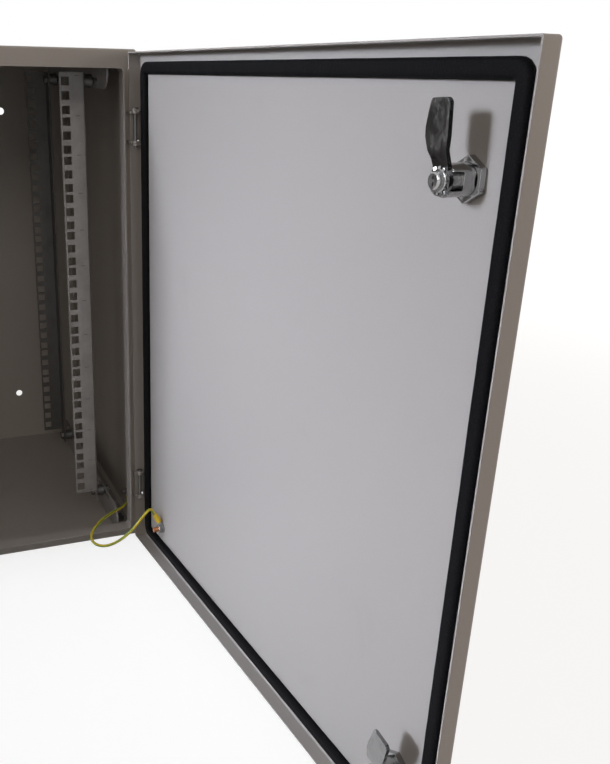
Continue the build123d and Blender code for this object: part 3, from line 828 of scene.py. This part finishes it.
class CABINET_OT_gasket(bpy.types.Operator):
    """Lay the foam gasket round the door"""

    bl_idname = "cabinet.gasket"
    bl_label = "Gasket"
    bl_options = {"REGISTER", "UNDO"}

    CROWN_SHARE = 0.66
    CORNER_STEPS = 8
    LAST_FLAT_CORNER = 1
    DENTS_PER_METRE = 46.0
    DENT_DETAIL = 3.0
    FILL = 0.9

    def execute(self, context):
        size = sizes()
        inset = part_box("door_gasket")[0].z - SHELL_LOW.z + size.gasket_width / 2
        recipe = Recipe(
            "door_gasket_foam",
            path_width=SHELL_HIGH.x - SHELL_LOW.x - 2 * inset,
            path_height=SHELL_HIGH.z - SHELL_LOW.z - 2 * inset,
            path_corner=size.gasket_corner,
            strip_width=size.gasket_width,
            strip_height=size.gasket_height,
            station=size.gasket_station,
            wander=size.gasket_wander,
        )
        inputs = {"Curve": self.path(recipe), "Profile Curve": self.section(recipe)}
        strip = recipe.node("GeometryNodeCurveToMesh", None, inputs).outputs[0]
        foam = recipe.made(self.uneven(recipe, strip), "foam_gasket")
        skin_depth = SHELL_LOW.y - size.seal_gap - size.gasket_height
        foam.data.transform(door_place(skin_depth))
        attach(foam, "door")
        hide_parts("door_gasket")
        return {"FINISHED"}

    def path(self, recipe):
        """The strip's middle line, a rectangle with rounded corners."""
        inputs = {"Width": recipe.size("path_width"), "Height": recipe.size("path_height")}
        outline = recipe.node("GeometryNodeCurvePrimitiveQuadrilateral", None, inputs).outputs[0]
        rounded = self.filleted(recipe, outline, recipe.size("path_corner"))
        inputs = {"Curve": rounded, "Length": recipe.size("station")}
        even = recipe.node("GeometryNodeResampleCurve", {"mode": "LENGTH"}, inputs).outputs[0]
        upright = recipe.node("GeometryNodeSetCurveNormal", {"mode": "Z_UP"}, {"Curve": even})
        return upright.outputs[0]

    def section(self, recipe):
        """The strip's section: flat on the door, with a rounded crown."""
        height = recipe.size("strip_height")
        inputs = {"Width": recipe.size("strip_width"), "Height": height}
        block = recipe.node("GeometryNodeCurvePrimitiveQuadrilateral", None, inputs).outputs[0]
        corner = recipe.value("GeometryNodeInputIndex")
        round_off = (corner > self.LAST_FLAT_CORNER) * height * self.CROWN_SHARE
        crowned = self.filleted(recipe, block, round_off)
        inputs = {"Geometry": crowned, "Translation": recipe.vector(y=height * -0.5)}
        return recipe.node("GeometryNodeTransform", None, inputs).outputs[0]

    def filleted(self, recipe, line, radius):
        """A line with its corners rounded off."""
        inputs = {"Curve": line, "Count": self.CORNER_STEPS, "Radius": radius}
        return recipe.node("GeometryNodeFilletCurve", {"mode": "POLY"}, inputs).outputs[0]

    def uneven(self, recipe, strip):
        """The foam's soft irregular skin, always inside the even strip."""
        inputs = {"Scale": self.DENTS_PER_METRE, "Detail": self.DENT_DETAIL}
        dents = recipe.value("ShaderNodeTexNoise", None, inputs)
        outward = recipe.node("GeometryNodeInputNormal").outputs[0]
        inputs = {0: outward, "Scale": dents * recipe.size("wander") * -1.0}
        pull = recipe.node("ShaderNodeVectorMath", {"operation": "SCALE"}, inputs).outputs[0]
        inputs = {"Geometry": strip, "Offset": pull}
        dented = recipe.node("GeometryNodeSetPosition", None, inputs).outputs[0]
        return recipe.node("GeometryNodeSetShadeSmooth", None, {"Geometry": dented}).outputs[0]


class CABINET_OT_locks(bpy.types.Operator):
    """Plate the quarter-turn locks and their cams"""

    bl_idname = "cabinet.locks"
    bl_label = "Locks"
    bl_options = {"REGISTER", "UNDO"}

    CHROMED = ("lock_housing", "lock_nut", "lock_spindle", "cam_washer", "cam_screw")
    TEETH = 12

    def execute(self, context):
        for end in ("upper", "lower"):
            for name in self.CHROMED:
                node = f"{name}_{end}"
                eased(node, "polished", "polished_chrome", sizes().casting_edge)
            # The cams take the chrome with painted shade.
            eased(f"lock_cam_{end}", "polished", "dark_chrome", sizes().casting_edge)
            eased(f"lock_seal_{end}", "moulded", "black_rubber", sizes().sheet_edge)
            self.washer_teeth(end)
        return {"FINISHED"}

    def washer_teeth(self, end):
        """The twisted teeth round the washer that locks a cam's screw."""
        size = sizes()
        recipe = Recipe(
            f"cam_washer_teeth_{end}",
            teeth=self.TEETH,
            ring=size.tooth_ring,
            long=size.tooth_length,
            wide=size.tooth_width,
            thick=size.tooth_thickness,
            twist=size.tooth_twist,
        )
        inputs = {"Vertices": recipe.size("teeth"), "Radius": recipe.size("ring")}
        ring = recipe.node("GeometryNodeMeshCircle", None, inputs).outputs[0]
        tooth = recipe.block("long", "wide", "thick")
        inputs = {"Geometry": tooth, "Rotation": recipe.vector(recipe.size("twist"))}
        twisted = recipe.node("GeometryNodeTransform", None, inputs).outputs[0]
        turn = recipe.value("GeometryNodeInputIndex") * math.tau / recipe.size("teeth")
        crown = recipe.repeated(twisted, ring, Rotation=recipe.vector(z=turn))
        teeth = recipe.made(crown, "polished_chrome")
        axis = Vector(JOINT_OF[f"{end}_lock"]["axis"])
        facing = axis.to_track_quat("Z", "Y").to_matrix().to_4x4()
        teeth.data.transform(Matrix.Translation(middle_of(f"cam_washer_{end}")) @ facing)
        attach(teeth, f"{end}_lock")


class CABINET_OT_rails(bpy.types.Operator):
    """Finish the rack rails and depth bars"""

    bl_idname = "cabinet.rails"
    bl_label = "Rails and bars"
    bl_options = {"REGISTER", "UNDO"}

    COATED = {
        "front_rail": "galvanised_sheet",
        # The rear rails take the zinc with painted shade.
        "rear_rail": "aged_galvanised",
        "upper_depth_bar": "galvanised_sheet",
        "lower_depth_bar": "galvanised_sheet",
    }

    def execute(self, context):
        for hand in ("left", "right"):
            for name, finish in self.COATED.items():
                eased(f"{name}_{hand}", "galvanised", finish, 0.0)
        self.unit_marks()
        return {"FINISHED"}

    def unit_marks(self):
        """A printed stroke at each height unit, on the faces of both front rails."""
        size = sizes()
        low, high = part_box("front_rail_right")
        recipe = Recipe(
            "rail_unit_marks",
            marks=size.height_units + 1,
            pitch=size.unit_pitch,
            stroke_length=size.tick_length,
            stroke_width=size.tick_width,
            relief=size.tick_relief,
            side=high.x - size.tick_from_edge,
            depth=low.y - size.tick_relief / 2,
            top=high.z - size.tick_from_top,
        )
        stroke = recipe.block("stroke_length", "relief", "stroke_width")
        step = recipe.vector(z=recipe.size("pitch") * -1.0)
        columns = recipe.node("GeometryNodeJoinGeometry")
        for hand in (1.0, -1.0):
            side = recipe.size("side") * hand
            start = recipe.vector(side, recipe.size("depth"), recipe.size("top"))
            column = recipe.row(recipe.size("marks"), start, step)
            recipe.tree.links.new(column, columns.inputs[0])
        marks = recipe.made(recipe.repeated(stroke, columns.outputs[0]), "printed_ink")
        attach(marks, "cabinet")


class CABINET_OT_fasteners(bpy.types.Operator):
    """Plate the bolts, studs and nuts"""

    bl_idname = "cabinet.fasteners"
    bl_label = "Fasteners"
    bl_options = {"REGISTER", "UNDO"}

    PLATED = ("depth_bar_studs", "depth_bar_nuts", "rail_bolts", "rail_spacers", "rail_nuts")

    def execute(self, context):
        for node in self.PLATED:
            eased(node, "plated", "dull_zinc", sizes().fastener_edge)
        return {"FINISHED"}


class CABINET_OT_earth_points(bpy.types.Operator):
    """Finish the two earth connections"""

    bl_idname = "cabinet.earth_points"
    bl_label = "Earth points"
    bl_options = {"REGISTER", "UNDO"}

    PIECES = {
        "earth_stud": ("bare", "bare_copper", "copper"),
        "earth_nut": ("plated", "zinc_plate", "zinc_plate"),
        "earth_washer": ("plated", "zinc_plate", "zinc_plate"),
        "ring_terminal": ("tinned", "tinned_terminal", "tinned"),
        "crimp_sleeve": ("moulded", "sleeve_plastic", "yellow_sleeve"),
    }

    def execute(self, context):
        for owner in ("body", "door"):
            for name, (suffix, finish, slot) in self.PIECES.items():
                if (owner, name) == ("body", "earth_stud"):
                    suffix, finish, slot = "plated", "dull_zinc", "zinc_plate"
                eased(f"{owner}_{name}", suffix, finish, sizes().fastener_edge)
        return {"FINISHED"}


class CABINET_OT_stage(bpy.types.Operator):
    """Set up the camera, the lamps, the floor and the sky"""

    bl_idname = "cabinet.stage"
    bl_label = "Stage"
    bl_options = {"REGISTER", "UNDO"}

    # The camera, fitted to the rails' holes, the front flange and the door's edges.
    VIEW_WIDTH = 610
    VIEW_HEIGHT = 764
    OPTICAL_CENTRE = (205.947, 416.085)
    EYE = (0.013631, -1.188306, 0.579004)
    YAW = math.radians(20.69)
    PITCH = math.radians(21.514)
    ROLL = math.radians(1.027)
    SENSOR = 36.0
    NEAREST = 0.01
    FARTHEST = 200.0

    # The floor is darker under the cabinet than far off, where it meets the white sky.
    FLOOR_HALF = 30.0
    FLOOR_MIDDLE = -0.3
    SHADE_NEAR = 0.6
    SHADE_FAR = 2.4
    WHITE_LIFT = 0.82
    SEEN_SHARE = 0.35
    BOUNCE_SHARE = 0.3

    LAMPS = {
        "key": {
            "place": (-2.5, -0.30, 1.15),
            "target": (0.32, -0.50, 0.32),
            "width": 0.9,
            "spread": math.radians(21),
            "colour": (0.82, 0.86, 1.0),
        },
        "fill": {
            "place": (2.6, -2.0, 0.9),
            "target": (0.3, -0.6, 0.3),
            "width": 1.0,
            "spread": math.radians(180),
            "colour": (1.0, 0.86, 0.77),
        },
        "front": {
            "place": (-0.6, -3.0, 1.9),
            "target": (0.0, -0.2, 0.3),
            "width": 1.0,
            "spread": math.radians(180),
            "colour": (1.0, 0.89, 0.82),
        },
    }

    def execute(self, context):
        settings = context.scene.cabinet_stage
        context.scene.view_settings.view_transform = "Standard"
        self.camera(context, settings)
        self.floor(settings)
        self.sky(context, settings)
        for name, lamp in self.LAMPS.items():
            self.lamp(f"{name}_lamp", getattr(settings, f"{name}_watts"), **lamp)
        return {"FINISHED"}

    def camera(self, context, settings):
        """The camera where the photograph was taken from."""
        lens = bpy.data.cameras.new("camera")
        lens.sensor_fit = "AUTO"
        lens.sensor_width = self.SENSOR
        longer = max(self.VIEW_WIDTH, self.VIEW_HEIGHT)
        lens.lens = settings.focal_pixels * self.SENSOR / longer
        lens.shift_x = (self.VIEW_WIDTH / 2 - self.OPTICAL_CENTRE[0]) / longer
        lens.shift_y = (self.OPTICAL_CENTRE[1] - self.VIEW_HEIGHT / 2) / longer
        lens.clip_start = self.NEAREST
        lens.clip_end = self.FARTHEST
        ahead = Vector(
            (
                math.sin(self.YAW) * math.cos(self.PITCH),
                math.cos(self.YAW) * math.cos(self.PITCH),
                -math.sin(self.PITCH),
            )
        )
        level = Vector((math.cos(self.YAW), -math.sin(self.YAW), 0.0))
        above = level.cross(ahead)
        right = level * math.cos(self.ROLL) + above * math.sin(self.ROLL)
        upward = above * math.cos(self.ROLL) - level * math.sin(self.ROLL)
        turned = Matrix((right, upward, -ahead)).transposed()
        eye = bpy.data.objects.new("camera", lens)
        eye.matrix_world = Matrix.Translation(self.EYE) @ turned.to_4x4()
        context.scene.collection.objects.link(eye)
        context.scene.camera = eye

    def floor(self, settings):
        """A wide pale floor that keeps the cabinet's shadow."""
        half = self.FLOOR_HALF
        mesh = bpy.data.meshes.new("floor")
        corners = [(-half, -half, 0), (half, -half, 0), (half, half, 0), (-half, half, 0)]
        mesh.from_pydata(corners, [], [(0, 1, 2, 3)])
        ground = linked("floor", mesh)
        finish = Finish("pale_floor")
        seen = self.seen_directly(finish)
        pale = settings.floor_shade
        base = finish.blend(seen, shaded(pale, self.BOUNCE_SHARE), shaded(pale, self.SEEN_SHARE))
        x, y, _ = finish.axes()
        y = y - self.FLOOR_MIDDLE
        away = finish.ramp(x * x + y * y, self.SHADE_NEAR**2, self.SHADE_FAR**2)
        white = self.WHITE_LIFT + away * (1.0 - self.WHITE_LIFT)
        glow = finish.blend(seen * white, BLACK, WHITE)
        mesh.materials.append(
            finish.surface(
                base, 1.0, Specular_IOR_Level=0.0, Emission_Color=glow, Emission_Strength=1.0
            )
        )

    def seen_directly(self, nodes):
        """1 for rays from the camera, and for what metal and glass show of the surroundings."""
        path = nodes.node("ShaderNodeLightPath")
        kinds = ("Is Camera Ray", "Is Glossy Ray", "Is Transmission Ray")
        rays = [Value(nodes, path.outputs[kind]) for kind in kinds]
        return (rays[0] + rays[1] + rays[2]).clamped()

    def sky(self, context, settings):
        """Even light from all round, white where it is seen."""
        world = bpy.data.worlds.new("sky")
        world.use_nodes = True
        nodes = NodeTree(world.node_tree)
        seen = self.seen_directly(nodes)
        strength = seen * (1.0 - settings.sky_share) + settings.sky_share
        shade = nodes.blend(seen, settings.sky_colour, WHITE)
        glow = nodes.node("ShaderNodeBackground", None, {"Color": shade, "Strength": strength})
        nodes.node("ShaderNodeOutputWorld", None, {"Surface": glow.outputs[0]})
        context.scene.world = world

    def lamp(self, name, watts, place, target, width, spread, colour):
        """A square soft lamp aimed at a point."""
        light = bpy.data.lights.new(name, "AREA")
        light.shape = "SQUARE"
        light.size = width
        light.spread = spread
        light.energy = watts
        light.color = colour
        holder = bpy.data.objects.new(name, light)
        aim = Vector(target) - Vector(place)
        holder.location = place
        holder.rotation_mode = "QUATERNION"
        holder.rotation_quaternion = aim.to_track_quat("-Z", "Y")
        bpy.context.scene.collection.objects.link(holder)


class VIEW3D_PT_cabinet(bpy.types.Panel):
    """Sizes, colours and steps of the cabinet"""

    bl_label = "Rack wall cabinet"
    bl_idname = "VIEW3D_PT_cabinet"
    bl_space_type = "VIEW_3D"
    bl_region_type = "UI"
    bl_category = "Cabinet"

    def draw(self, context):
        column = self.layout.column()
        for step in STEPS:
            column.operator(step.bl_idname)
        for title in GROUPS:
            group = getattr(context.scene, title)
            box = self.layout.box()
            for name in group.bl_rna.properties.keys():
                if name not in ("rna_type", "name"):
                    box.prop(group, name)


STEPS = (
    CABINET_OT_stage,
    CABINET_OT_earth_wire,
    CABINET_OT_shell,
    CABINET_OT_gasket,
    CABINET_OT_locks,
    CABINET_OT_rails,
    CABINET_OT_fasteners,
    CABINET_OT_earth_points,
)
GROUPS = {
    "cabinet_sizes": CabinetSizes,
    "cabinet_colours": CabinetColours,
    "cabinet_stage": CabinetStage,
}


def register():
    """Adds the classes and the panel's groups of values."""
    for made in (*GROUPS.values(), *STEPS, VIEW3D_PT_cabinet):
        bpy.utils.register_class(made)
    for name, group in GROUPS.items():
        setattr(bpy.types.Scene, name, PointerProperty(type=group))


def unregister():
    """Takes them away again."""
    for name in GROUPS:
        delattr(bpy.types.Scene, name)
    for made in (VIEW3D_PT_cabinet, *reversed(STEPS), *GROUPS.values()):
        bpy.utils.unregister_class(made)


def main():
    """Runs every step."""
    register()
    for step in STEPS:
        area, name = step.bl_idname.split(".")
        getattr(getattr(bpy.ops, area), name)()


if __name__ == "__main__":
    main()
